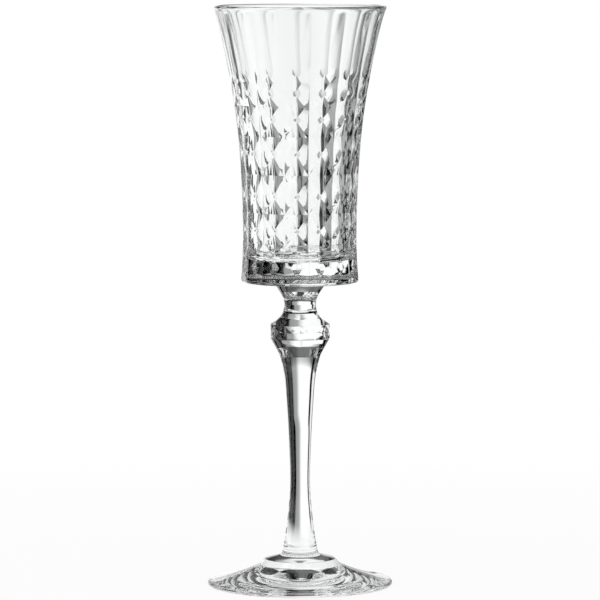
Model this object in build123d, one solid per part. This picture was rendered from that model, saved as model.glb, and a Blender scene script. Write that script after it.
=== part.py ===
"""Champagne flute in pressed clear glass: a fifteen-panel bowl cut with lozenges, welded to a neck, a
faceted knop, a tapered stem, a stepped boss and a round foot.

Millimetres, +Z up. The origin is the centre of the ring that the foot stands on.
"""

from build123d import *
from math import atan, degrees, radians, tan
import os

# Heights of the weld planes between the pieces, from the table up
BOSS_BOTTOM = 8.3
STEM_BOTTOM = 15.0
KNOP_BOTTOM = 94.0
NECK_BOTTOM = 111.0
BOWL_BOTTOM = 123.3
TOTAL_HEIGHT = 235.0

# Radii at the weld planes
BOSS_FOOT_RADIUS = 16.4
STEM_FOOT_RADIUS = 6.9
STEM_TOP_RADIUS = 8.4
NECK_FOOT_RADIUS = 7.0
NECK_TOP_RADIUS = 11.0

# Foot
FOOT_RADIUS = 37.5
FOOT_EDGE_RADIUS = 0.9
RING_OUTER_RADIUS = FOOT_RADIUS - FOOT_EDGE_RADIUS
RING_INNER_RADIUS = 33.5
HOLLOW_DEPTH = 2.4

# Boss: the stepped button that the stem stands on
BOSS_EDGE_RADIUS = 14.2
BOSS_EDGE_HEIGHT = 10.7
SKIRT_RADIUS = 8.5
SKIRT_HEIGHT = 12.1

# Knop
KNOP_RADIUS = 12.05
BAND_BOTTOM = 100.6
BAND_TOP = 106.4
KNOP_LOZENGES = 12
KNOP_LOZENGE_DEPTH = 1.0
KNOP_SHARE = 0.97  # of its twelfth of the band, so that neighbouring lozenges don't quite meet

# Bowl
PANELS = 15
PANEL_ANGLE = 360 / PANELS
PANEL_PHASE = -3.3  # the front panel's centre, turned from -Y
BASE_RADIUS = 23.85
BASE_ROUND = 1.4
FLOOR_HEIGHT = 132.2
FLOOR_ROUND = 5.0
LIP_RADIUS = 34.9
LIP_ROUND = 1.1
FLAT_SHARE = 0.981  # a flat's distance from the axis, as a share of the ridge beside it
PANEL_END = 230.3  # where the flat panels start to run out below the lip
RUN_OUT = (2.4, 3.6)  # how far out and up a panel's end slopes before it clears the lip

# Ridge radius at each height, from the waist up to the lip
WALL_OUTSIDE = [(23.2, 135.0), (23.1, 147.0), (23.7, 165.0), (24.8, 181.0), (26.5, 195.0)]
FLARE_OUTSIDE = [(28.8, 208.5), (31.5, 221.5)]
WALL_INSIDE = [(19.4, 147.0), (19.9, 165.0), (21.3, 181.0), (23.4, 195.0), (26.1, 208.5), (29.1, 221.5)]

# Rows of lozenges from the top down: centre height, height and width. The tall middle row spans its panel
LOZENGES = [
    (204.7, 7.2, 4.2),
    (195.0, 9.5, 6.9),
    (183.0, 13.7, 8.5),
    (167.6, 16.9, 9.6),
    (152.1, 13.8, 9.5),
    (139.9, 10.4, 8.1),
    (130.6, 7.4, 4.8),
]
LOZENGE_SLOPE = 0.33  # depth at the centre over the distance from the centre to an edge


def turned(points, *, start, end):
    """A smooth line through start, the points and end, each (radius, height)."""
    return Spline(*[(r, z) for r, z in [start, *points, end]])


def turned_solid(edges):
    """Spins a closed outline, drawn as (radius, height), about the Z axis."""
    face = Plane.XZ * make_face(edges)
    return revolve(face, Axis.Z)


def pyramid(half_width, half_height, depth, lift):
    """A four-sided point for cutting one lozenge: its tip is `depth` below the XY plane, and its base
    is `lift` above it. Width runs along X and height along Y."""
    grow = 1 + lift / depth
    a, b = half_width * grow, half_height * grow
    corners = [Vector(a, 0, lift), Vector(0, b, lift), Vector(-a, 0, lift), Vector(0, -b, lift)]
    tip = Vector(0, 0, -depth)
    sides = [Face(Wire.make_polygon([corners[i], corners[(i + 1) % 4], tip])) for i in range(4)]
    return Solid(Shell([Face(Wire.make_polygon(corners)), *sides]))


def facing_out(angle, radius, height, lean=0.0):
    """The place on a wall at `angle` from -Y: local Z points outwards and local Y up the wall, whose top
    leans outwards by `lean` degrees."""
    return Rot(0, 0, angle) * Pos(0, -radius, height) * Rot(90 + lean, 0, 0)


def ridge_line():
    """The bowl's outer line from the top of its base rounding to the lip."""
    return [(BASE_RADIUS, BOWL_BOTTOM + BASE_ROUND), *WALL_OUTSIDE, *FLARE_OUTSIDE,
            (LIP_RADIUS - 1.0, TOTAL_HEIGHT - 4.2)]


def radius_at(line, height):
    """Radius on a line of (radius, height) points at a height, by straight steps between its points."""
    for (r0, z0), (r1, z1) in zip(line, line[1:]):
        if z0 <= height <= z1:
            return r0 + (r1 - r0) * (height - z0) / (z1 - z0)
    raise ValueError(height)


def lean_at(line, height):
    """How far the wall leans outwards from upright at a height, in degrees."""
    step = 2.0
    rise = radius_at(line, height + step) - radius_at(line, height - step)
    return degrees(atan(rise / (2 * step)))


def bowl_blank():
    """The bowl turned smooth inside and out, before its panels and lozenges are cut."""
    line = ridge_line()
    lip_centre = (LIP_RADIUS - LIP_ROUND, TOTAL_HEIGHT - LIP_ROUND)
    lip_start = (LIP_RADIUS, TOTAL_HEIGHT - LIP_ROUND)
    lip_end = (LIP_RADIUS - 2 * LIP_ROUND, TOTAL_HEIGHT - LIP_ROUND)
    wall_foot = (19.3, FLOOR_HEIGHT + FLOOR_ROUND)
    floor_edge = (wall_foot[0] - FLOOR_ROUND, FLOOR_HEIGHT)
    base_inner = (BASE_RADIUS - BASE_ROUND, BOWL_BOTTOM)
    outline = [
        Line((0, BOWL_BOTTOM), base_inner),
        RadiusArc(base_inner, line[0], -BASE_ROUND),
        Spline(*line, lip_start),
        RadiusArc(lip_start, (lip_centre[0], TOTAL_HEIGHT), -LIP_ROUND),
        RadiusArc((lip_centre[0], TOTAL_HEIGHT), lip_end, -LIP_ROUND),
        Spline(lip_end, *reversed(WALL_INSIDE), wall_foot),
        RadiusArc(wall_foot, floor_edge, FLOOR_ROUND),
        Line(floor_edge, (0, FLOOR_HEIGHT)),
        Line((0, FLOOR_HEIGHT), (0, BOWL_BOTTOM)),
    ]
    return turned_solid(outline)


def panel_cutter():
    """What stands outside one flat panel: the panel's own line, drawn out sideways."""
    reach = 2 * BASE_RADIUS
    line = [(r * FLAT_SHARE, z) for r, z in ridge_line() if z < PANEL_END]
    top = (radius_at(ridge_line(), PANEL_END) * FLAT_SHARE, PANEL_END)
    below = (line[0][0], BOWL_BOTTOM - 1)
    run_out = (top[0] + RUN_OUT[0], PANEL_END + RUN_OUT[1])
    outline = [
        Line(below, line[0]),
        Spline(*line, top),
        Line(top, run_out),
        Line(run_out, (reach, run_out[1])),
        Line((reach, run_out[1]), (reach, below[1])),
        Line((reach, below[1]), below),
    ]
    half_width = LIP_RADIUS * tan(radians(PANEL_ANGLE / 2)) + 1
    return extrude(Plane.XZ * make_face(outline), half_width, both=True)


def panel_angles():
    """The angle of each panel's centre, from -Y."""
    return [PANEL_PHASE + PANEL_ANGLE * i for i in range(PANELS)]


def make_bowl():
    """Bowl: fifteen flat panels outside, each with a column of seven sunk lozenges, and smooth inside."""
    line = ridge_line()
    cutter = panel_cutter()
    bowl = bowl_blank()
    bowl -= [Rot(0, 0, angle - 90) * cutter for angle in panel_angles()]
    points = []
    for height, tall, wide in LOZENGES:
        a, b = wide / 2, tall / 2
        depth = LOZENGE_SLOPE * a * b / (a * a + b * b) ** 0.5
        point = pyramid(a, b, depth, 1.5)
        radius = radius_at(line, height) * FLAT_SHARE
        lean = lean_at(line, height)
        points += [facing_out(angle, radius, height, lean) * point for angle in panel_angles()]
    return bowl - points


def make_neck():
    """Neck: a short waisted collar from the knop's shoulder up to the bowl's base."""
    side = turned([(6.4, 113.9), (6.85, 116.8), (8.2, 119.4)], start=(NECK_FOOT_RADIUS, NECK_BOTTOM),
                  end=(NECK_TOP_RADIUS, BOWL_BOTTOM))
    return turned_solid([
        side,
        Line((NECK_TOP_RADIUS, BOWL_BOTTOM), (0, BOWL_BOTTOM)),
        Line((0, BOWL_BOTTOM), (0, NECK_BOTTOM)),
        Line((0, NECK_BOTTOM), (NECK_FOOT_RADIUS, NECK_BOTTOM)),
    ])


def make_knop():
    """Knop: a hollow-sided shoulder, an upright band with twelve sunk lozenges, and a cone down to the stem."""
    shoulder = turned([(7.7, 109.8), (9.6, 107.9)], start=(NECK_FOOT_RADIUS, NECK_BOTTOM),
                      end=(KNOP_RADIUS, BAND_TOP))
    blank = turned_solid([
        shoulder,
        Line((KNOP_RADIUS, BAND_TOP), (KNOP_RADIUS, BAND_BOTTOM)),
        Line((KNOP_RADIUS, BAND_BOTTOM), (STEM_TOP_RADIUS, KNOP_BOTTOM)),
        Line((STEM_TOP_RADIUS, KNOP_BOTTOM), (0, KNOP_BOTTOM)),
        Line((0, KNOP_BOTTOM), (0, NECK_BOTTOM)),
        Line((0, NECK_BOTTOM), (NECK_FOOT_RADIUS, NECK_BOTTOM)),
    ])
    pitch = 360 / KNOP_LOZENGES
    half_width = KNOP_RADIUS * tan(radians(pitch / 2)) * KNOP_SHARE
    half_height = (BAND_TOP - BAND_BOTTOM) / 2 * KNOP_SHARE
    point = pyramid(half_width, half_height, KNOP_LOZENGE_DEPTH, 1.0)
    middle = (BAND_TOP + BAND_BOTTOM) / 2
    return blank - [facing_out(pitch * (i + 0.5), KNOP_RADIUS, middle) * point for i in range(KNOP_LOZENGES)]


def make_stem():
    """Stem: a solid round rod, drawn in to a waist a third of the way up."""
    side = turned([(5.65, 22.9), (4.55, 32.7), (4.0, 42.6), (4.25, 53.0), (4.9, 67.0), (5.6, 77.5),
                   (6.5, 86.5)], start=(STEM_FOOT_RADIUS, STEM_BOTTOM), end=(STEM_TOP_RADIUS, KNOP_BOTTOM))
    return turned_solid([
        side,
        Line((STEM_TOP_RADIUS, KNOP_BOTTOM), (0, KNOP_BOTTOM)),
        Line((0, KNOP_BOTTOM), (0, STEM_BOTTOM)),
        Line((0, STEM_BOTTOM), (STEM_FOOT_RADIUS, STEM_BOTTOM)),
    ])


def make_boss():
    """Boss: a flared skirt under the stem on a stepped button, which tops the foot."""
    skirt_foot, edge = (SKIRT_RADIUS, SKIRT_HEIGHT), (BOSS_EDGE_RADIUS, BOSS_EDGE_HEIGHT)
    skirt_waist = (7.35, 13.5)
    side_middle = (15.1, 9.7)
    return turned_solid([
        ThreePointArc((STEM_FOOT_RADIUS, STEM_BOTTOM), skirt_waist, skirt_foot),
        Line(skirt_foot, edge),
        ThreePointArc(edge, side_middle, (BOSS_FOOT_RADIUS, BOSS_BOTTOM)),
        Line((BOSS_FOOT_RADIUS, BOSS_BOTTOM), (0, BOSS_BOTTOM)),
        Line((0, BOSS_BOTTOM), (0, STEM_BOTTOM)),
        Line((0, STEM_BOTTOM), (STEM_FOOT_RADIUS, STEM_BOTTOM)),
    ])


def make_foot():
    """Foot: a round disc with a hollow-sided top, a rounded edge, a flat ring to stand on and a shallow
    hollow underneath."""
    edge_centre = (FOOT_RADIUS - FOOT_EDGE_RADIUS, FOOT_EDGE_RADIUS)
    edge_top = (edge_centre[0], 2 * FOOT_EDGE_RADIUS)
    top = turned([(33.0, 2.45), (29.0, 3.5), (24.5, 4.95), (20.0, 6.65)], start=edge_top,
                 end=(BOSS_FOOT_RADIUS, BOSS_BOTTOM))
    return turned_solid([
        top,
        Line((BOSS_FOOT_RADIUS, BOSS_BOTTOM), (0, BOSS_BOTTOM)),
        Line((0, BOSS_BOTTOM), (0, HOLLOW_DEPTH)),
        ThreePointArc((0, HOLLOW_DEPTH), (18.0, 1.55), (RING_INNER_RADIUS, 0)),
        Line((RING_INNER_RADIUS, 0), (RING_OUTER_RADIUS, 0)),
        RadiusArc((RING_OUTER_RADIUS, 0), (FOOT_RADIUS, FOOT_EDGE_RADIUS), -FOOT_EDGE_RADIUS),
        RadiusArc((FOOT_RADIUS, FOOT_EDGE_RADIUS), edge_top, -FOOT_EDGE_RADIUS),
    ])


PIECES = {
    "bowl": make_bowl,
    "neck": make_neck,
    "knop": make_knop,
    "stem": make_stem,
    "foot_boss": make_boss,
    "foot": make_foot,
}

os.makedirs("parts", exist_ok=True)
for name, make in PIECES.items():
    export_step(make(), f"parts/{name}.step")
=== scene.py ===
"""Looks of a pressed-glass champagne flute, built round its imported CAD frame.

Sizes in this file are millimetres and degrees unless a name says otherwise. Meshes are made in metres, in
the frame of the CAD: +Z up, with the table at zero. Each piece of glass is a grid wrapped round the Z axis.
Its rows follow a fire-polished half-section and its columns go round, so every facet has its own cells.
"""

import logging
import math
from dataclasses import dataclass, field
from enum import Enum

import bpy
import numpy as np
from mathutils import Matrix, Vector


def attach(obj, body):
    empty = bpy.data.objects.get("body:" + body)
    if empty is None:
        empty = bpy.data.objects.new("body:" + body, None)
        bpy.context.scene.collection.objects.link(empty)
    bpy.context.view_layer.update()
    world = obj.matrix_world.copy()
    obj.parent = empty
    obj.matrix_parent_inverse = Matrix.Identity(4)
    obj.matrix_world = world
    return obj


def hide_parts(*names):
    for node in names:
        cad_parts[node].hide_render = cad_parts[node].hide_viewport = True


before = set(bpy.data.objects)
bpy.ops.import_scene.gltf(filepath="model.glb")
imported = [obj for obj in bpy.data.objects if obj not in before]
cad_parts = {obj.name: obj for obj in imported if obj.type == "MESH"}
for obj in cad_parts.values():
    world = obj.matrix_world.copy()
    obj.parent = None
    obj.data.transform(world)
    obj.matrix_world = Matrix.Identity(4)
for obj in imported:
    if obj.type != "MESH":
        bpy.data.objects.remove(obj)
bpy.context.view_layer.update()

LOG = logging.getLogger("flute")
MM = 0.001
COLUMNS = 240  # round every ring, so that the rings of two welded pieces meet vertex to vertex

# Weld planes between the pieces: height and radius
WELD_BOWL = (123.3, 11.0)
WELD_NECK = (111.0, 7.0)
WELD_KNOP = (94.0, 8.4)
WELD_STEM = (15.0, 6.9)
WELD_BOSS = (8.3, 16.4)


# ---------------------------------------------------------------- colour and nodes

def linear(hex_colour: str, alpha: float = 1.0) -> tuple[float, float, float, float]:
    """Turns an sRGB colour into the linear colour that Blender's sockets hold.

    Args:
        hex_colour: The colour as "#RRGGBB".
        alpha: The colour's alpha.

    Returns:
        Linear red, green and blue, and the alpha.
    """
    parts = [int(hex_colour[i:i + 2], 16) / 255 for i in (1, 3, 5)]
    red, green, blue = [c / 12.92 if c <= 0.04045 else ((c + 0.055) / 1.055) ** 2.4 for c in parts]
    return red, green, blue, alpha


def add_node(tree: bpy.types.NodeTree, kind: str, values: dict | None = None,
             links: dict | None = None, **settings: object) -> bpy.types.Node:
    """Adds one node with its settings, its socket values and the links into it.

    Args:
        tree: The node tree to add to.
        kind: The node's type, such as "ShaderNodeMath".
        values: Values by input socket name or index.
        links: Output sockets by the name or index of the input socket that they go to.
        settings: The node's own properties, such as operation="ADD".

    Returns:
        The new node.
    """
    node = tree.nodes.new(kind)
    for name, value in settings.items():
        setattr(node, name, value)
    for socket, value in (values or {}).items():
        node.inputs[socket].default_value = value
    for socket, source in (links or {}).items():
        tree.links.new(source, node.inputs[socket])
    return node


# ---------------------------------------------------------------- finishes

@dataclass(frozen=True)
class PressedGlass:
    """Clear soda-lime glass, pressed in an iron mould and fire-polished.

    It gives the eye a colourless body that bends the background and keeps dark edges, with a faint swell
    where the hot skin met the cooler mould.

    Attributes:
        name: The material's name.
        colour: What the glass passes, near to pure white.
        ior: Index of refraction.
        swell_pitch: Distance between the swells.
        swell_height: Height of the swells.
    """

    name: str
    colour: str = "#FDFEFE"
    ior: float = 1.52
    swell_pitch: float = 7.0
    swell_height: float = 0.006

    def make(self) -> bpy.types.Material:
        """Makes the material."""
        material = bpy.data.materials.new(self.name)
        material.use_nodes = True
        tree = material.node_tree
        tree.nodes.clear()
        place = add_node(tree, "ShaderNodeTexCoord")
        swell = add_node(tree, "ShaderNodeTexNoise",
                         values={"Scale": 1 / (self.swell_pitch * MM), "Detail": 1.5, "Roughness": 0.45},
                         links={"Vector": place.outputs["Object"]})
        bump = add_node(tree, "ShaderNodeBump",
                        values={"Strength": 1.0, "Distance": self.swell_height * MM},
                        links={"Height": swell.outputs["Fac"]})
        glass = add_node(tree, "ShaderNodeBsdfPrincipled",
                         values={"Base Color": linear(self.colour), "Roughness": 0.0, "IOR": self.ior,
                                 "Transmission Weight": 1.0},
                         links={"Normal": bump.outputs["Normal"]})
        add_node(tree, "ShaderNodeOutputMaterial", links={"Surface": glass.outputs[0]})
        return material


@dataclass(frozen=True)
class FusedWeld:
    """The plane where two hot pieces of glass were fused. The glass runs through it, so light does too."""

    name: str = "fused_weld_plane"

    def make(self) -> bpy.types.Material:
        """Makes the material."""
        material = bpy.data.materials.new(self.name)
        material.use_nodes = True
        tree = material.node_tree
        tree.nodes.clear()
        clear = add_node(tree, "ShaderNodeBsdfTransparent", values={"Color": linear("#FFFFFF")})
        add_node(tree, "ShaderNodeOutputMaterial", links={"Surface": clear.outputs[0]})
        return material


# ---------------------------------------------------------------- half-sections

def through(points: list[tuple[float, float]], step: float = 0.1) -> np.ndarray:
    """A natural cubic spline through a few points, as closely spaced points.

    Args:
        points: (radius, height) of each point.
        step: Spacing of the result.

    Returns:
        An array of (radius, height) rows.
    """
    knots = np.array(points, float)
    chord = np.hypot(*np.diff(knots, axis=0).T)
    t = np.concatenate([[0], np.cumsum(chord)])
    count = len(t)
    system = np.eye(count)
    right = np.zeros((count, 2))
    for i in range(1, count - 1):
        system[i, i - 1:i + 2] = chord[i - 1], 2 * (chord[i - 1] + chord[i]), chord[i]
        onward, back = (knots[i + 1] - knots[i]) / chord[i], (knots[i] - knots[i - 1]) / chord[i - 1]
        right[i] = 6 * (onward - back)
    bend = np.linalg.solve(system, right)
    at = np.linspace(0, t[-1], max(2, int(t[-1] / step) + 1))
    i = np.clip(np.searchsorted(t, at, side="right") - 1, 0, count - 2)
    width = chord[i][:, None]
    a = (t[i + 1] - at)[:, None]
    b = (at - t[i])[:, None]
    return ((bend[i] * a ** 3 + bend[i + 1] * b ** 3) / (6 * width)
            + (knots[i] / width - bend[i] * width / 6) * a
            + (knots[i + 1] / width - bend[i + 1] * width / 6) * b)


def arc(centre: tuple[float, float], radius: float, start: float, end: float) -> np.ndarray:
    """Part of a circle in the half-section, as closely spaced points.

    Args:
        centre: (radius, height) of its centre.
        radius: Its radius.
        start: Angle of its first point, in degrees from the outward direction.
        end: Angle of its last point.

    Returns:
        An array of (radius, height) rows.
    """
    turn = np.radians(np.linspace(start, end, max(3, int(abs(end - start) / 4) + 1)))
    return np.stack([centre[0] + radius * np.cos(turn), centre[1] + radius * np.sin(turn)], axis=1)


class HalfSection:
    """A fire-polished half-section: a line of (radius, height) that is measured by its own length."""

    STEP = 0.04
    SHORTEST = 0.05  # narrowest last row

    def __init__(self, *runs: np.ndarray | list, polish: float = 0.18) -> None:
        """Joins the runs end to end and melts their corners.

        Args:
            runs: Stretches of (radius, height) points.
            polish: How far the flame rounds a corner.
        """
        sharp = np.concatenate([np.array(run, float) for run in runs])
        keep = np.concatenate([[True], np.hypot(*np.diff(sharp, axis=0).T) > 1e-6])
        sharp = sharp[keep]
        dense = self._even(sharp)
        reach = int(3 * polish / self.STEP)
        weight = np.exp(-0.5 * (np.arange(-reach, reach + 1) * self.STEP / polish) ** 2)
        weight /= weight.sum()
        before = 2 * dense[0] - dense[reach:0:-1]
        after = 2 * dense[-1] - dense[-2:-reach - 2:-1]
        padded = np.concatenate([before, dense, after])
        melted = np.stack([np.convolve(padded[:, k], weight, mode="valid") for k in (0, 1)], axis=1)
        self.line = self._even(melted)
        self.along = np.concatenate([[0], np.cumsum(np.hypot(*np.diff(self.line, axis=0).T))])
        self.length = float(self.along[-1])

    def _even(self, points: np.ndarray) -> np.ndarray:
        """Spaces points evenly along their line, its ends included."""
        along = np.concatenate([[0], np.cumsum(np.hypot(*np.diff(points, axis=0).T))])
        at = np.linspace(0, along[-1], int(along[-1] / self.STEP) + 2)
        return np.stack([np.interp(at, along, points[:, k]) for k in (0, 1)], axis=1)

    def place(self, s: np.ndarray) -> tuple[np.ndarray, np.ndarray]:
        """Radius and height at a distance along the line, carried on straight past either end."""
        s = np.asarray(s, float)
        result = []
        for k in (0, 1):
            value = np.interp(s, self.along, self.line[:, k])
            first = (self.line[1, k] - self.line[0, k]) / self.along[1]
            last = (self.line[-1, k] - self.line[-2, k]) / (self.along[-1] - self.along[-2])
            value = value + np.minimum(s, 0) * first + np.maximum(s - self.length, 0) * last
            result.append(value)
        return result[0], result[1]

    def distance_to(self, height: float) -> float:
        """Distance along the line at which it first reaches a height."""
        reached = np.nonzero(np.diff(np.sign(self.line[:, 1] - height)))[0]
        return float(self.along[reached[0]])

    def rows(self, turn: float = 5.0, longest: float = 2.0) -> list[float]:
        """Distances of the mesh's rows: close together where the line bends.

        Args:
            turn: The most that the line turns between two rows, in degrees.
            longest: The widest space between two rows.

        Returns:
            Rising distances from 0 to the line's length.
        """
        heading = np.unwrap(np.arctan2(*np.diff(self.line, axis=0).T[::-1]))
        kept = [0.0]
        bent, last = 0.0, heading[0]
        for i in range(1, len(heading)):
            bent += abs(heading[i] - last)
            last = heading[i]
            if bent >= math.radians(turn) or self.along[i] - kept[-1] >= longest:
                kept.append(float(self.along[i]))
                bent = 0.0
        if len(kept) > 1 and self.length - kept[-1] < self.SHORTEST:
            kept.pop()
        kept.append(self.length)
        return kept


# ---------------------------------------------------------------- pieces

class Cap(Enum):
    """How a wrapped grid ends."""

    WELD = "a weld plane, where the next piece is fused on"
    POLE = "a point on the axis"


@dataclass
class GlassPiece:
    """One piece of glass, wrapped round the Z axis.

    Attributes:
        name: The piece's name.
        node: The CAD node that it stands for.
        start: How the grid's first row ends.
        end: How the grid's last row ends.
    """

    name: str
    node: str
    start: Cap = Cap.WELD
    end: Cap = Cap.WELD

    NUDGE = 0.006  # half the step over which a slope of the skin is measured

    def section(self) -> HalfSection:
        """The piece's half-section."""
        raise NotImplementedError

    def rows(self, section: HalfSection) -> list[float]:
        """Distances along the half-section at which the mesh has rows."""
        return section.rows()

    def columns(self, s: float) -> np.ndarray:
        """Angles of a row's columns round the axis, in radians from -Y towards +X."""
        return np.arange(COLUMNS) * 2 * math.pi / COLUMNS

    def surface(self, section: HalfSection, turn: np.ndarray, s: np.ndarray) -> np.ndarray:
        """Points of the skin, for angles round the axis and distances along the half-section."""
        radius, height = section.place(s)
        return np.stack([radius * np.sin(turn), -radius * np.cos(turn), height + 0 * turn], axis=-1)

    def skin(self) -> tuple[np.ndarray, np.ndarray]:
        """Points and outward normals of the grid, each an array of rows by columns by three."""
        section = self.section()
        distances = self.rows(section)
        turn = np.stack([self.columns(s) for s in distances])
        s = np.repeat(np.array(distances)[:, None], turn.shape[1], axis=1)
        points = self.surface(section, turn, s)
        radius = np.maximum(np.hypot(points[..., 0], points[..., 1]), 1.0)
        step = self.NUDGE / radius
        round_ = self.surface(section, turn + step, s) - self.surface(section, turn - step, s)
        up = self.surface(section, turn, s + self.NUDGE) - self.surface(section, turn, s - self.NUDGE)
        normals = np.cross(round_, up)
        normals /= np.maximum(np.linalg.norm(normals, axis=-1, keepdims=True), 1e-12)
        return points, normals

    def build(self) -> bpy.types.Object:
        """Makes the piece's closed mesh and its object."""
        points, normals = self.skin()
        if self.start is Cap.POLE:
            points, normals = points[1:], normals[1:]
        if self.end is Cap.POLE:
            points, normals = points[:-1], normals[:-1]
        rows, count = points.shape[:2]
        vertices = [tuple(p) for p in points.reshape(-1, 3) * MM]
        shading = [tuple(n) for n in normals.reshape(-1, 3)]
        faces = []
        slots = []
        for i in range(rows - 1):
            for j in range(count):
                k = (j + 1) % count
                low, high = i * count, (i + 1) * count
                faces.append((low + j, low + k, high + k, high + j))
                slots.append(0)
        for cap, row, heading in ((self.start, 0, -1.0), (self.end, rows - 1, 1.0)):
            height = float(points[row, :, 2].mean())
            vertices.append((0.0, 0.0, height * MM))
            shading.append((0.0, 0.0, heading))
            centre = len(vertices) - 1
            for j in range(count):
                here, after = row * count + j, row * count + (j + 1) % count
                faces.append((after, here, centre) if heading < 0 else (here, after, centre))
                slots.append(1 if cap is Cap.WELD else 0)
        mesh = bpy.data.meshes.new(self.name)
        mesh.from_pydata(vertices, [], faces)
        mesh.polygons.foreach_set("use_smooth", [True] * len(faces))
        mesh.polygons.foreach_set("material_index", slots)
        mesh.update()
        mesh.normals_split_custom_set_from_vertices(shading)
        mesh.validate()
        piece = bpy.data.objects.new(self.name, mesh)
        bpy.context.scene.collection.objects.link(piece)
        return piece

    def dress(self, piece: bpy.types.Object, glass: bpy.types.Material,
              weld: bpy.types.Material) -> None:
        """Gives the piece its glass and, on its weld planes, the fused joint."""
        piece.data.materials.append(glass)
        piece.data.materials.append(weld)

    def make(self, glass: bpy.types.Material, weld: bpy.types.Material) -> bpy.types.Object:
        """Builds and dresses the piece and hangs it on the frame.

        Args:
            glass: The material of its skin.
            weld: The material of its weld planes.

        Returns:
            The piece.
        """
        piece = self.build()
        self.dress(piece, glass, weld)
        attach(piece, "root")
        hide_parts(self.node)
        LOG.info("%s: %d faces", self.name, len(piece.data.polygons))
        return piece


@dataclass
class Foot(GlassPiece):
    """Round foot: a hollow-sided top, a rounded edge, a flat ring to stand on and a shallow hollow.

    Attributes:
        radius: Radius of the foot.
        edge: Rounding of its edge.
        ring_inner: Inner radius of the flat ring.
        hollow: Height of the hollow underneath.
        slope: (radius, height) points of its top, from the edge inwards.
    """

    radius: float = 37.5
    edge: float = 0.9
    ring_inner: float = 33.5
    hollow: float = 2.4
    slope: tuple[tuple[float, float], ...] = ((33.0, 2.45), (29.0, 3.5), (24.5, 4.95), (20.0, 6.65))

    def section(self) -> HalfSection:
        """From the middle of the hollow underneath, round the edge, to the weld with the boss."""
        reach = self.ring_inner
        dome = (reach ** 2 + self.hollow ** 2) / (2 * self.hollow)
        half = math.degrees(math.asin(reach / dome))
        underside = arc((0.0, self.hollow - dome), dome, 90, 90 - half)
        edge = arc((self.radius - self.edge, self.edge), self.edge, -90, 90)
        top = through([(self.radius - self.edge, 2 * self.edge), *self.slope,
                       (WELD_BOSS[1], WELD_BOSS[0])])
        return HalfSection(underside, edge, top, polish=0.12)


@dataclass
class Boss(GlassPiece):
    """Stepped button on the foot, with the small flared skirt that the stem stands on.

    Attributes:
        edge: (radius, height) of the button's upper edge.
        bulge: (radius, height) of the widest part of its side.
        skirt: (radius, height) of the skirt's lower edge.
        waist: (radius, height) half way up the skirt.
    """

    edge: tuple[float, float] = (14.2, 10.7)
    bulge: tuple[float, float] = (15.1, 9.7)
    skirt: tuple[float, float] = (8.5, 12.1)
    waist: tuple[float, float] = (7.35, 13.5)

    def section(self) -> HalfSection:
        """From the foot up to the stem."""
        side = through([(WELD_BOSS[1], WELD_BOSS[0]), self.bulge, self.edge])
        flare = through([self.skirt, self.waist, (WELD_STEM[1], WELD_STEM[0])])
        return HalfSection(side, flare, polish=0.2)


@dataclass
class Stem(GlassPiece):
    """Solid round stem, drawn in to a waist a third of the way up.

    Attributes:
        side: (radius, height) points of its side, upwards.
    """

    side: tuple[tuple[float, float], ...] = (
        (5.65, 22.9), (4.55, 32.7), (4.0, 42.6), (4.25, 53.0), (4.9, 67.0), (5.6, 77.5), (6.5, 86.5))

    def section(self) -> HalfSection:
        """From the boss up to the knop."""
        line = through([(WELD_STEM[1], WELD_STEM[0]), *self.side, (WELD_KNOP[1], WELD_KNOP[0])])
        return HalfSection(line, polish=0.1)


@dataclass
class Neck(GlassPiece):
    """Short waisted collar between the knop and the bowl.

    Attributes:
        side: (radius, height) points of its side, upwards.
    """

    side: tuple[tuple[float, float], ...] = ((6.4, 113.9), (6.85, 116.8), (8.2, 119.4))

    def section(self) -> HalfSection:
        """From the knop up to the bowl."""
        line = through([(WELD_NECK[1], WELD_NECK[0]), *self.side, (WELD_BOWL[1], WELD_BOWL[0])])
        return HalfSection(line, polish=0.1)


def round_fold(value: np.ndarray, melt: float) -> np.ndarray:
    """Size of a value, with the fold at zero rounded off within a distance.

    Args:
        value: The value.
        melt: How far from zero the rounding reaches.

    Returns:
        The value without its sign, raised a little near to zero.
    """
    size = np.abs(value)
    return np.where(size < melt, (value ** 2 / melt + melt) / 2, size)


@dataclass(frozen=True)
class Lozenge:
    """A sunk, four-sided point cut in a wall.

    Attributes:
        height: Height of its centre.
        tall: Its height.
        wide: Its width.
        slope: Its depth at the centre over the distance from there to an edge.
    """

    height: float
    tall: float
    wide: float
    slope: float = 0.33

    @property
    def reach(self) -> float:
        """Distance from its centre to an edge."""
        return self.tall * self.wide / 2 / math.hypot(self.tall, self.wide)

    def depth(self, across: np.ndarray, up: np.ndarray, melt: float) -> np.ndarray:
        """How far the glass is cut away, with its creases and edges melted round.

        Args:
            across: Distance sideways from its centre.
            up: Distance upwards from its centre.
            melt: How far its creases and edges are rounded.

        Returns:
            The depth at each place.
        """
        inside = (1 - round_fold(across, melt) * 2 / self.wide
                  - round_fold(up, melt) * 2 / self.tall)
        soft = melt / self.reach
        return self.slope * self.reach * 0.5 * (inside + round_fold(inside, soft))

    def half_width(self, up: float) -> float:
        """Half its width at a distance above its centre."""
        return max(0.0, self.wide / 2 * (1 - abs(up) * 2 / self.tall))


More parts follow.
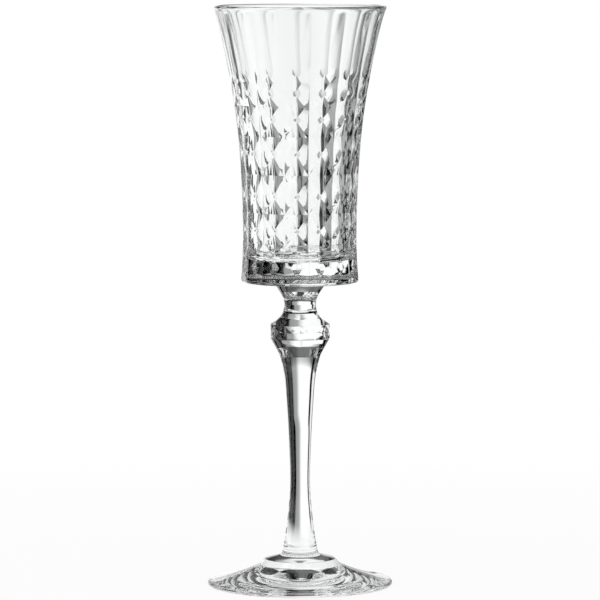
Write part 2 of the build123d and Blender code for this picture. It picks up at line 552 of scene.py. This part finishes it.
@dataclass
class FacetedPiece(GlassPiece):
    """A piece whose wall repeats the same upright column of lozenges round the axis.

    Attributes:
        sides: How many columns of lozenges go round.
        phase: Angle of the first column's centre.
        lozenges: One column's lozenges.
        melt: How far their creases and edges are rounded.
        ridge: Width of the rounded ridge between two columns, from its crest to either side.
        places: Each lozenge with the distance of its centre along the half-section, once that is known.
    """

    sides: int = 12
    phase: float = 0.0
    lozenges: tuple[Lozenge, ...] = ()
    melt: float = 0.1
    ridge: float = 0.4
    places: list[tuple[float, Lozenge]] = field(default_factory=list, init=False)

    ROW_SHARES = (0.2, 0.4, 0.6, 0.8)
    CLEAR = 0.15  # space between a lozenge and the nearest plain row
    CLOSEST = 0.03  # narrowest row

    @property
    def half_angle(self) -> float:
        """Half the angle that one column spans, in radians."""
        return math.pi / self.sides

    def lozenge_places(self, section: HalfSection) -> list[tuple[float, Lozenge]]:
        """Each lozenge with the distance of its centre along the half-section."""
        return [(section.distance_to(z.height), z) for z in self.lozenges]

    def rows(self, section: HalfSection) -> list[float]:
        """Rows at each lozenge's tips, widest line and between, and the plain rows elsewhere."""
        self.places = self.lozenge_places(section)
        special = []
        for at, lozenge in self.places:
            half = lozenge.tall / 2
            steps = [0.0, self.melt, *[half * share for share in self.ROW_SHARES],
                     half - 1.5 * self.melt, half, half + 1.5 * self.melt]
            special += [at + sign * step for step in steps for sign in (-1, 1)]
        spans = [(s - z.tall / 2, s + z.tall / 2) for s, z in self.places]
        plain = [s for s in section.rows()
                 if not any(a - self.CLEAR < s < b + self.CLEAR for a, b in spans)]
        merged = sorted([*special, *plain])
        kept = [merged[0]]
        for s in merged[1:]:
            if s - kept[-1] > self.CLOSEST:
                kept.append(s)
        kept[-1] = section.length
        return kept

    def wall(self, radius: np.ndarray, offset: np.ndarray, s: np.ndarray) -> np.ndarray:
        """Distance of the uncut wall from the axis, at an angle from its side's centre."""
        return radius + 0 * offset

    def surface(self, section: HalfSection, turn: np.ndarray, s: np.ndarray) -> np.ndarray:
        """Points of the skin in millimetres, with the lozenges pressed square to the wall."""
        radius, height = section.place(s)
        radius_on, height_on = section.place(s + section.STEP)
        radius_back, height_back = section.place(s - section.STEP)
        run = np.maximum(np.hypot(radius_on - radius_back, height_on - height_back), 1e-9)
        rise, flare = (height_on - height_back) / run, (radius_on - radius_back) / run
        pitch = 2 * self.half_angle
        offset = (turn - math.radians(self.phase) + self.half_angle) % pitch - self.half_angle
        middle = turn - offset
        wall = self.wall(radius, offset, s)
        across = wall * np.sin(offset)
        depth = sum(z.depth(across, s - at, self.melt) for at, z in self.places)
        out = wall * np.cos(offset) - depth * rise
        return np.stack([out * np.sin(middle) + across * np.cos(middle),
                         across * np.sin(middle) - out * np.cos(middle),
                         height + depth * flare], axis=-1)

    def half_row(self, s: float, radius: float) -> np.ndarray:
        """Angles of the columns in the right half of one side, from its centre to its ridge.

        The columns close in on the edges of a lozenge that the row crosses.

        Args:
            s: The row's distance along the half-section.
            radius: The wall's radius there.

        Returns:
            Rising angles from 0 to the side's half angle.
        """
        count = COLUMNS // self.sides // 2
        limit = self.half_angle
        melt = self.melt / radius
        edge = max([z.half_width(s - at) for at, z in self.places] + [0.0]) / radius
        edge = min(max(edge, 0.06 / radius), limit - 1.4 * melt)
        inner = max(edge - melt, 0.6 * edge)
        outer = min(edge + melt, limit - 0.8 * melt)
        ridge = min(max(limit - self.ridge / radius, outer + 0.3 * melt), limit - 0.3 * melt)
        crease = min(melt, 0.3 * inner)
        return np.array([0.0, *np.linspace(crease, inner, count - 3), outer, ridge, limit])


def ring_angles(half: np.ndarray, sides: int, phase: float) -> np.ndarray:
    """Repeats half a side's column angles round the axis.

    Args:
        half: Rising angles from a side's centre to its ridge.
        sides: How many sides go round.
        phase: Angle of the first side's centre, in degrees.

    Returns:
        The angles of a whole ring, without repeating its first.
    """
    side = np.concatenate([-half[:0:-1], half[:-1]])
    starts = math.radians(phase) + np.arange(sides) * 2 * math.pi / sides
    return (starts[:, None] + side[None, :]).ravel()


@dataclass
class Knop(FacetedPiece):
    """Faceted knob: a hollow-sided shoulder, an upright band of lozenges and a cone down to the stem."""

    radius: float = 12.05
    band: tuple[float, float] = (100.6, 106.4)
    settle: float = 1.6  # length in which the columns even out beyond the band

    def section(self) -> HalfSection:
        """From the stem up to the neck."""
        low, high = self.band
        cone = [(WELD_KNOP[1], WELD_KNOP[0]), (self.radius, low), (self.radius, high)]
        shoulder = through([(self.radius, high), (9.6, 107.9), (7.7, 109.8), (WELD_NECK[1], WELD_NECK[0])])
        return HalfSection(cone, shoulder, polish=0.15)

    def columns(self, s: float) -> np.ndarray:
        """Columns that close in on the lozenges of the band, and are even at the welds."""
        even = np.linspace(0, self.half_angle, COLUMNS // self.sides // 2 + 1)
        at, lozenge = self.places[0]
        beyond = max(0.0, abs(s - at) - lozenge.tall / 2)
        share = min(1.0, beyond / self.settle)
        half = (1 - share) * self.half_row(s, self.radius) + share * even
        return ring_angles(half, self.sides, self.phase)


@dataclass
class Bowl(FacetedPiece):
    """Tall flared bowl: flat panels and sunk lozenges outside, a full round lip, and smooth inside.

    Attributes:
        base_radius: Radius of the ridges at the foot of the bowl.
        base_round: Rounding under the ridges.
        lip_radius: Outer radius of the lip.
        lip_round: Rounding of the lip.
        height: Height of the lip.
        floor: Height of the floor inside.
        floor_round: Rounding between the floor and the wall.
        flat: A panel's distance from the axis, over the ridge's.
        panel_end: Height at which the panels start to run out.
        run_out: How far out and up a panel's end slopes.
        outside: (radius, height) points of the ridges' line, upwards.
        inside: (radius, height) points of the smooth inner wall, downwards.
        wall_foot: Radius of the inner wall where it meets the rounding of the floor.
        line: The half-section, once it is made.
        heel_at: Distance along it of the heel under the ridges.
        end_at: Distance along it at which the panels start to run out.
        lip_at: Distance along it at which the lip starts.
        end_radius: Radius of the ridges where the panels start to run out.
    """

    base_radius: float = 23.85
    base_round: float = 1.4
    lip_radius: float = 34.9
    lip_round: float = 1.1
    height: float = 235.0
    floor: float = 132.2
    floor_round: float = 5.0
    flat: float = 0.981
    panel_end: float = 232.4
    run_out: tuple[float, float] = (1.0, 1.0)
    outside: tuple[tuple[float, float], ...] = (
        (23.2, 135.0), (23.1, 147.0), (23.7, 165.0), (24.8, 181.0), (26.5, 195.0), (28.8, 208.5),
        (31.5, 221.5), (33.9, 230.8))
    inside: tuple[tuple[float, float], ...] = (
        (29.1, 221.5), (26.1, 208.5), (23.4, 195.0), (21.3, 181.0), (19.9, 165.0), (19.4, 147.0))
    wall_foot: float = 19.3
    line: HalfSection | None = field(default=None, init=False)
    heel_at: float = field(default=0.0, init=False)
    end_at: float = field(default=0.0, init=False)
    lip_at: float = field(default=0.0, init=False)
    end_radius: float = field(default=0.0, init=False)

    ROUND_SHARE = 1.06  # a panel this far out is past the ridges, so the wall is round there
    UNDER_FADE = (1.0, 6.0)  # gap before the heel, and length, in which the panels fade out under the bowl
    LOW_SPREAD = 1.6  # length in which the columns even out below the lozenges
    UNDER_SPREAD = 3.0  # and under the bowl

    def section(self) -> HalfSection:
        """From the weld with the neck up to the lip, and down inside to the middle of the floor."""
        base = self.base_radius - self.base_round
        under = [(WELD_BOWL[1], WELD_BOWL[0]), (base, WELD_BOWL[0])]
        heel = arc((base, WELD_BOWL[0] + self.base_round), self.base_round, -90, 0)
        lip_centre = (self.lip_radius - self.lip_round, self.height - self.lip_round)
        outer = through([(self.base_radius, WELD_BOWL[0] + self.base_round), *self.outside,
                         (self.lip_radius, lip_centre[1])])
        lip = arc(lip_centre, self.lip_round, 0, 180)
        inner = through([(self.lip_radius - 2 * self.lip_round, lip_centre[1]), *self.inside,
                         (self.wall_foot, self.floor + self.floor_round)])
        corner_centre = (self.wall_foot - self.floor_round, self.floor + self.floor_round)
        corner = arc(corner_centre, self.floor_round, 0, -90)
        section = HalfSection(under, heel, outer, lip, inner, corner, [(0.0, self.floor)], polish=0.15)
        self.heel_at = base - WELD_BOWL[1]
        self.lip_at = section.distance_to(lip_centre[1])
        self.end_at = section.distance_to(self.panel_end)
        self.end_radius = float(section.place(np.array(self.end_at))[0])
        return section

    def wall(self, radius: np.ndarray, offset: np.ndarray, s: np.ndarray) -> np.ndarray:
        """A many-sided wall with rounded ridges, and a round one inside and at the lip."""
        slope = self.run_out[0] / self.run_out[1]
        gap, fade = self.UNDER_FADE
        past = np.maximum(s - self.end_at, 0)
        run_out = (self.flat * self.end_radius + past * slope) / np.maximum(radius, 1)
        out = np.where(past > 0, run_out, self.flat)
        out = np.where(s > self.lip_at, self.ROUND_SHARE, np.minimum(out, self.ROUND_SHARE))
        under = np.clip((self.heel_at - gap - s) / fade, 0, 1)
        out = out + (self.ROUND_SHARE - out) * under
        panel = out * radius / np.cos(offset)
        return 0.5 * (panel + radius - round_fold(panel - radius, 0.5 * self.melt))

    def columns(self, s: float) -> np.ndarray:
        """Columns that close in on the lozenges, and are even under the bowl, at the lip and inside."""
        even = np.linspace(0, self.half_angle, COLUMNS // self.sides // 2 + 1)
        (low, lowest), (top, highest) = self.places[-1], self.places[0]
        low -= lowest.tall / 2
        top += highest.tall / 2
        radius = float(self.line.place(np.array(s))[0])
        near = self.half_row(s, max(radius, 1.0))
        spread = max((low - s) / self.LOW_SPREAD, (s - top) / (self.end_at - top), 0.0)
        inner = near + (even - near) * min(1.0, spread)
        past_end = (s - self.end_at) / (self.lip_at - self.end_at)
        ridge = max((self.heel_at - s) / self.UNDER_SPREAD, past_end, 0.0)
        half = np.concatenate([inner[:-2], (near + (even - near) * min(1.0, ridge))[-2:]])
        return ring_angles(half, self.sides, self.phase)

    def rows(self, section: HalfSection) -> list[float]:
        """Rows at each lozenge's tips, widest line and between, and the plain rows elsewhere."""
        self.line = section
        return super().rows(section)


# ---------------------------------------------------------------- studio

@dataclass(frozen=True)
class Camera:
    """Long lens a little above the table, looking slightly down."""

    distance: float = 1730.0
    height: float = 271.0
    pitch: float = 5.12
    lens: float = 257.5
    sensor: float = 36.0

    def make(self) -> None:
        """Adds the camera and makes it the scene's."""
        data = bpy.data.cameras.new("camera")
        data.lens = self.lens
        data.sensor_width = self.sensor
        data.clip_start = 0.1
        data.clip_end = 60
        camera = bpy.data.objects.new("camera", data)
        camera.location = (0, -self.distance * MM, self.height * MM)
        camera.rotation_euler = (math.radians(90 - self.pitch), 0, 0)
        bpy.context.scene.collection.objects.link(camera)
        bpy.context.scene.camera = camera


# Brightness of the studio round the glass: angle from +Y towards +X, and level. White sheets stand round
# the glass, shaded off to one side, a little brighter than white paper because glass reflects some light
# away. The black card between them gives the glass its dark edges.
SHEETS = (
    (-180, 0.0), (-140, 0.0), (-137, 0.5), (-126, 0.5), (-123, 0.0), (-110, 0.0),
    (-108, 1.1), (-88, 1.1), (-74, 0.3), (-72, 0.0), (-68, 0.0),
    (-66, 1.1), (-47, 1.1), (-43, 0.4), (-41, 0.0), (-33, 0.0),
    (-31, 1.1), (1, 1.1), (6, 0.75), (9, 0.42), (20, 0.32), (22, 0.0), (64, 0.0),
    (67, 0.4), (80, 0.4), (83, 0.0), (115, 0.0),
    (117, 1.1), (131, 1.1), (152, 0.25), (154, 0.0), (180, 0.0),
)

# How much of that is left at a height above the horizon: the rise of the direction, and a share. A dark
# ceiling runs round a white sheet overhead.
CEILING = ((0.0, 1.0), (0.17, 1.0), (0.24, 0.15), (0.84, 0.15), (0.9, 1.0))


@dataclass
class Studio:
    """A white room with a pale table, plain soft light, and black card that only the glass sees.

    Attributes:
        table_radius: Radius of the table.
        near: Distance from the glass up to which the table is plain white to the glass.
        far: Distance past which the table shows the glass the white sheets and black card.
        shadow: Distances between which the table's own shading, and so the shadow, fades out.
        swing: Angle by which the sheets are swung on the near table.
        swing_reach: Distances between which that swing fades out.
        lamp_side: Side of the soft lamp.
        lamp_place: Place of the soft lamp.
        lamp_power: Power of the soft lamp, in watts.
        sky_level: Brightness of the room on matt things.
        own_light: Share of plain white in the table near the glass.
        paper: Colour of the table.
        white: Plain white.
    """

    table_radius: float = 5000.0
    near: float = 45.0
    far: float = 90.0
    shadow: tuple[float, float] = (120.0, 500.0)
    swing: float = 6.0
    swing_reach: tuple[float, float] = (900.0, 1600.0)
    lamp_side: float = 1200.0
    lamp_place: tuple[float, float, float] = (-900.0, -500.0, 1700.0)
    lamp_power: float = 4.0
    sky_level: float = 0.8
    own_light: float = 0.9
    paper: str = "#EEEEEE"
    white: str = "#FFFFFF"

    TABLE_SIDES = 64

    def ramp(self, tree: bpy.types.NodeTree, share: bpy.types.NodeSocket,
             stops: list[tuple[float, float]]) -> bpy.types.NodeSocket:
        """A level that changes along a number from 0 to 1.

        Args:
            tree: The node tree to add to.
            share: The number.
            stops: Place and level of each stop, the first at 0.

        Returns:
            The level, as a grey colour.
        """
        node = add_node(tree, "ShaderNodeValToRGB", links={"Fac": share})
        elements = node.color_ramp.elements
        last = len(stops) - 1
        for count, (position, level) in enumerate(stops):
            stop = elements[-1 if count == last else 0] if count in (0, last) else elements.new(position)
            stop.position = position
            stop.color = (level, level, level, 1)
        return node.outputs["Color"]

    def sheets(self, tree: bpy.types.NodeTree, direction: bpy.types.NodeSocket,
               swing: bpy.types.NodeSocket | None = None) -> bpy.types.NodeSocket:
        """Brightness of the studio in a direction.

        Args:
            tree: The node tree to add to.
            direction: A vector from the glass.
            swing: Angle in radians that the sheets are swung by, or None.

        Returns:
            The colour.
        """
        parts = add_node(tree, "ShaderNodeSeparateXYZ", links={0: direction})
        angle = add_node(tree, "ShaderNodeMath", operation="ARCTAN2",
                         links={0: parts.outputs["X"], 1: parts.outputs["Y"]})
        if swing is not None:
            angle = add_node(tree, "ShaderNodeMath", operation="ADD", links={0: angle.outputs[0], 1: swing})
        share = add_node(tree, "ShaderNodeMapRange", values={"From Min": -math.pi, "From Max": math.pi},
                         links={"Value": angle.outputs[0]})
        return self.ramp(tree, share.outputs[0], [((turn + 180) / 360, level) for turn, level in SHEETS])

    def seen_by_glass(self, tree: bpy.types.NodeTree) -> tuple[bpy.types.NodeSocket, bpy.types.NodeSocket]:
        """Whether a ray comes from the camera, and whether it comes through or off the glass."""
        path = add_node(tree, "ShaderNodeLightPath")
        glass = add_node(tree, "ShaderNodeMath", operation="MAXIMUM",
                         links={0: path.outputs["Is Glossy Ray"], 1: path.outputs["Is Transmission Ray"]})
        return path.outputs["Is Camera Ray"], glass.outputs[0]

    def light_room(self) -> None:
        """Makes the room's own brightness."""
        world = bpy.data.worlds.new("studio")
        bpy.context.scene.world = world
        world.use_nodes = True
        tree = world.node_tree
        tree.nodes.clear()
        place = add_node(tree, "ShaderNodeTexCoord")
        walls = self.sheets(tree, place.outputs["Generated"])
        rise = add_node(tree, "ShaderNodeSeparateXYZ", links={0: place.outputs["Generated"]})
        ceiling = self.ramp(tree, rise.outputs["Z"], list(CEILING))
        sheets = add_node(tree, "ShaderNodeMix", data_type="RGBA", blend_type="MULTIPLY", values={0: 1.0},
                          links={6: walls, 7: ceiling})
        camera, glass = self.seen_by_glass(tree)
        level = (self.sky_level,) * 3 + (1,)
        room = add_node(tree, "ShaderNodeMix", data_type="RGBA", values={6: level, 7: linear(self.white)},
                        links={0: camera})
        mixed = add_node(tree, "ShaderNodeMix", data_type="RGBA",
                         links={0: glass, 6: room.outputs[2], 7: sheets.outputs[2]})
        glow = add_node(tree, "ShaderNodeBackground", links={"Color": mixed.outputs[2]})
        add_node(tree, "ShaderNodeOutputWorld", links={"Surface": glow.outputs[0]})

    def lay_table(self) -> bpy.types.Object:
        """Makes the pale table, which keeps the glass's shadow."""
        material = bpy.data.materials.new("white_table_paper")
        material.use_nodes = True
        tree = material.node_tree
        tree.nodes.clear()
        place = add_node(tree, "ShaderNodeNewGeometry")
        spread = add_node(tree, "ShaderNodeVectorMath", operation="LENGTH",
                          links={0: place.outputs["Position"]})
        swing = add_node(tree, "ShaderNodeMapRange", interpolation_type="SMOOTHSTEP",
                         values={"From Min": self.swing_reach[0] * MM, "From Max": self.swing_reach[1] * MM,
                                 "To Min": math.radians(self.swing), "To Max": 0.0},
                         links={"Value": spread.outputs["Value"]})
        sheets = self.sheets(tree, place.outputs["Position"], swing.outputs[0])
        far = add_node(tree, "ShaderNodeMapRange", interpolation_type="SMOOTHSTEP",
                       values={"From Min": self.near * MM, "From Max": self.far * MM},
                       links={"Value": spread.outputs["Value"]})
        camera, glass = self.seen_by_glass(tree)
        card = add_node(tree, "ShaderNodeMath", operation="MULTIPLY", links={0: glass, 1: far.outputs[0]})
        colour = add_node(tree, "ShaderNodeMix", data_type="RGBA", values={6: linear(self.white)},
                          links={0: card.outputs[0], 7: sheets})
        away = add_node(tree, "ShaderNodeMapRange", interpolation_type="SMOOTHSTEP",
                        values={"From Min": self.shadow[0] * MM, "From Max": self.shadow[1] * MM,
                                "To Min": self.own_light},
                        links={"Value": spread.outputs["Value"]})
        seen = add_node(tree, "ShaderNodeMath", operation="MULTIPLY", links={0: camera, 1: away.outputs[0]})
        share = add_node(tree, "ShaderNodeMath", operation="MAXIMUM", links={0: seen.outputs[0], 1: glass})
        paper = add_node(tree, "ShaderNodeBsdfDiffuse", values={"Color": linear(self.paper)})
        glow = add_node(tree, "ShaderNodeEmission", links={"Color": colour.outputs[2]})
        mixed = add_node(tree, "ShaderNodeMixShader",
                         links={0: share.outputs[0], 1: paper.outputs[0], 2: glow.outputs[0]})
        add_node(tree, "ShaderNodeOutputMaterial", links={"Surface": mixed.outputs[0]})
        mesh = bpy.data.meshes.new("table")
        corners = [(self.table_radius * MM * math.sin(a), self.table_radius * MM * math.cos(a), 0.0)
                   for a in np.arange(self.TABLE_SIDES) * -2 * math.pi / self.TABLE_SIDES]
        mesh.from_pydata(corners, [], [tuple(range(self.TABLE_SIDES))])
        mesh.materials.append(material)
        table = bpy.data.objects.new("table", mesh)
        bpy.context.scene.collection.objects.link(table)
        return table

    def hang_lamp(self) -> None:
        """Hangs one large soft lamp over the table."""
        data = bpy.data.lights.new("soft_box", "AREA")
        data.shape = "SQUARE"
        data.size = self.lamp_side * MM
        data.energy = self.lamp_power
        lamp = bpy.data.objects.new("soft_box", data)
        lamp.location = [c * MM for c in self.lamp_place]
        aim = Vector((0, 0, 0.1)) - lamp.location
        lamp.rotation_euler = aim.to_track_quat("-Z", "Y").to_euler()
        bpy.context.scene.collection.objects.link(lamp)

    def make(self) -> None:
        """Sets up the room, the table, the lamp and how far light is followed through glass."""
        self.light_room()
        self.lay_table()
        self.hang_lamp()
        scene = bpy.context.scene
        scene.view_settings.view_transform = "Standard"
        scene.cycles.max_bounces = 40
        scene.cycles.transmission_bounces = 40
        scene.cycles.glossy_bounces = 24
        scene.cycles.transparent_max_bounces = 64


# ---------------------------------------------------------------- the flute

def rows_of_lozenges() -> tuple[Lozenge, ...]:
    """The seven lozenges of a panel, from the top down."""
    sizes = ((204.7, 7.2, 4.2), (195.0, 9.5, 6.9), (183.0, 13.7, 8.5), (167.6, 16.9, 9.6),
             (152.1, 13.8, 9.5), (139.9, 10.4, 8.1), (130.6, 7.4, 4.8))
    return tuple(Lozenge(height, tall, wide) for height, tall, wide in sizes)


def main() -> None:
    """Builds the flute in its studio."""
    logging.basicConfig(level=logging.INFO, format="%(name)s: %(message)s")
    Studio().make()
    Camera().make()
    glass = PressedGlass("pressed_soda_lime_glass").make()
    weld = FusedWeld().make()
    pieces = (
        Foot("foot_disc", "foot", start=Cap.POLE),
        Boss("foot_button", "foot_boss"),
        Stem("stem_rod", "stem"),
        Knop("faceted_knop", "knop", lozenges=(Lozenge(103.5, 5.7, 6.2, 0.3),)),
        Neck("neck_collar", "neck"),
        Bowl("panelled_bowl", "bowl", end=Cap.POLE, sides=15, phase=-3.3, lozenges=rows_of_lozenges()),
    )
    for piece in pieces:
        piece.make(glass, weld)


if __name__ == "__main__":
    main()
